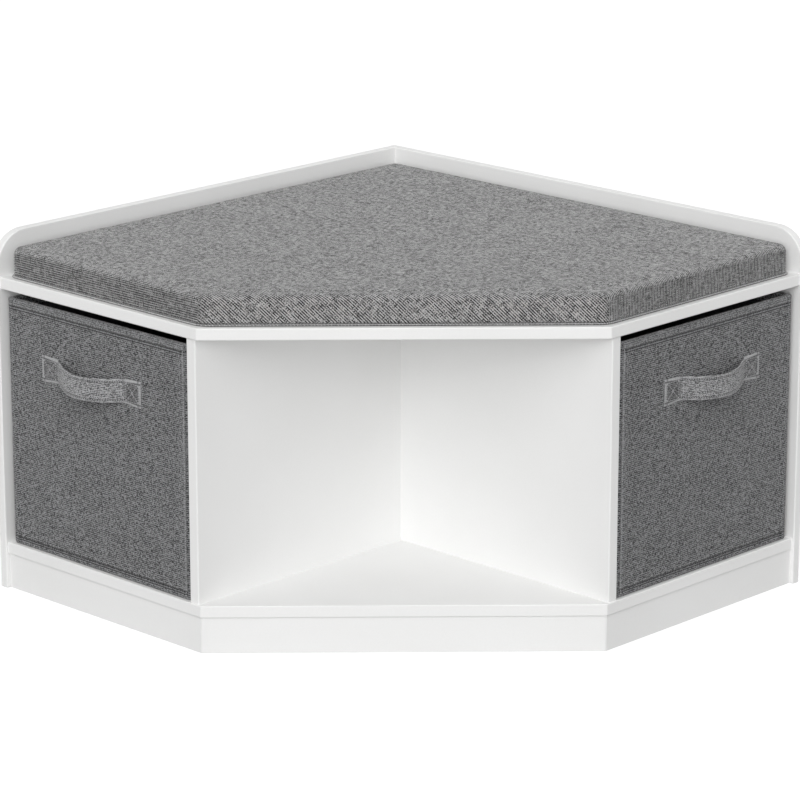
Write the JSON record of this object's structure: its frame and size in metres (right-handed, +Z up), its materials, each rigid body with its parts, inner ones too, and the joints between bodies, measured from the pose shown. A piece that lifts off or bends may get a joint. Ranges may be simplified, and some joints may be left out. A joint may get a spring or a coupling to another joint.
{
  "type": "corner storage bench",
  "caption": "Pentagonal corner bench with raised back panels, a loose grey seat cushion, an open centre cubby and a pull-out fabric bin on each side.",
  "frame": {"origin": "the room corner at floor level, where the planes of the two back panels' outer faces meet", "axes": "+Z up; the right back panel's outer face faces +Y and lies on y = 0; the left one's faces -X and lies on x = 0; the seat fronts face -Y, +X and the diagonal between them"},
  "size_m": [0.7244, 0.7244, 0.457],
  "materials": {
    "white_board": "satin white laminate",
    "steel": "zinc plated",
    "cast_zinc": "cast",
    "white_plastic": "moulded",
    "beech": "bare",
    "grey_fabric": "heathered weave",
    "base_cloth": "plain backing cloth",
    "foam": "open cell foam",
    "zip_tape": "woven tape",
    "bin_fabric": "heathered weave",
    "bin_lining": "non-woven",
    "greyboard": "pressed board"
  },
  "bodies": {
    "carcass": {"back_panel_left": "white_board", "back_panel_right": "white_board", "seat_board": "white_board", "bottom_board": "white_board", "divider_left": "white_board", "divider_right": "white_board", "rear_stop_panel": "white_board", "kick_board_left": "white_board", "kick_board_right": "white_board", "kick_board_centre": "white_board", "support_rail": "white_board", "kick_blocks": "white_plastic", "cam_locks": "cast_zinc", "cam_caps": "white_plastic", "dowels": "beech", "kick_block_screws": "steel", "panel_screws": "steel", "base_screws": "steel", "corner_screws": "steel", "cam_bolts": "steel"},
    "cushion": {"cushion_cover": "grey_fabric", "cushion_base_cloth": "base_cloth", "cushion_foam": "foam", "cushion_zip": "zip_tape"},
    "zip_slider": {"cushion_zip_slider": "steel"},
    "bin_left": {"bin_left_cover": "bin_fabric", "bin_left_lining": "bin_lining", "bin_left_base_insert": "bin_lining", "bin_left_handle": "bin_fabric", "bin_left_front_board": "greyboard", "bin_left_rear_board": "greyboard", "bin_left_wall_side_board": "greyboard", "bin_left_divider_side_board": "greyboard", "bin_left_base_board": "greyboard"},
    "bin_right": {"bin_right_cover": "bin_fabric", "bin_right_lining": "bin_lining", "bin_right_base_insert": "bin_lining", "bin_right_handle": "bin_fabric", "bin_right_front_board": "greyboard", "bin_right_rear_board": "greyboard", "bin_right_wall_side_board": "greyboard", "bin_right_divider_side_board": "greyboard", "bin_right_base_board": "greyboard"}
  },
  "joints": [
    {"name": "bin_left_slide", "type": "slide", "parent": "carcass", "child": "bin_left", "axis": [0, -1, 0], "range_m": [-0.02, 0.335]},
    {"name": "bin_right_slide", "type": "slide", "parent": "carcass", "child": "bin_right", "axis": [1, 0, 0], "range_m": [-0.02, 0.335]},
    {"name": "cushion_lift", "type": "slide", "parent": "carcass", "child": "cushion", "axis": [0, 0, 1], "range_m": [0, 0.15]},
    {"name": "zip_slide", "type": "slide", "parent": "cushion", "child": "zip_slider", "axis": [0, -1, 0], "range_m": [0, 0.52]}
  ]
}
